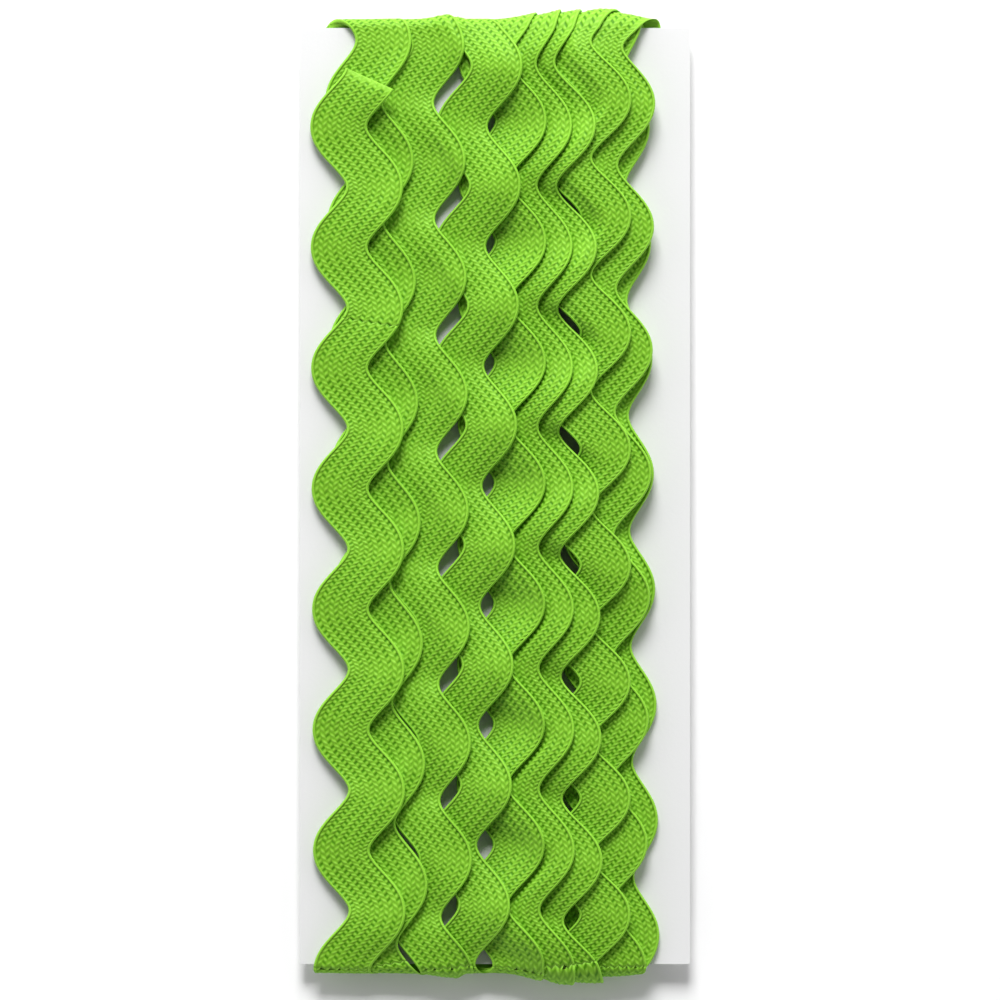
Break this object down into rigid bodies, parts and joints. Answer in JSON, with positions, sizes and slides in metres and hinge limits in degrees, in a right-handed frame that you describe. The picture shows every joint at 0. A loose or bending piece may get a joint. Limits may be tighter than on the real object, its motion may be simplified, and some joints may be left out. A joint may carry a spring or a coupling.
{
  "type": "ric rac trim wound on a card",
  "caption": "Wavy flat braid trim wound lengthwise on a flat card, its turns laid over one another like shingles and one cut end left free on the front.",
  "frame": {"origin": "on the surface that it lies on, under the middle of the card", "axes": "+Z up from the surface, out of the front face with the loose end; +Y along the card towards the edge near the loose end; +X across the card, to the right when it is seen from the front with +Y up"},
  "size_m": [0.045, 0.112, 0.0056],
  "materials": {
    "card_board": "matt white",
    "braid": "woven, with a slight sheen"
  },
  "bodies": {
    "root": {"card": "card_board", "winding": "braid", "loose_end": "braid"}
  },
  "joints": []
}
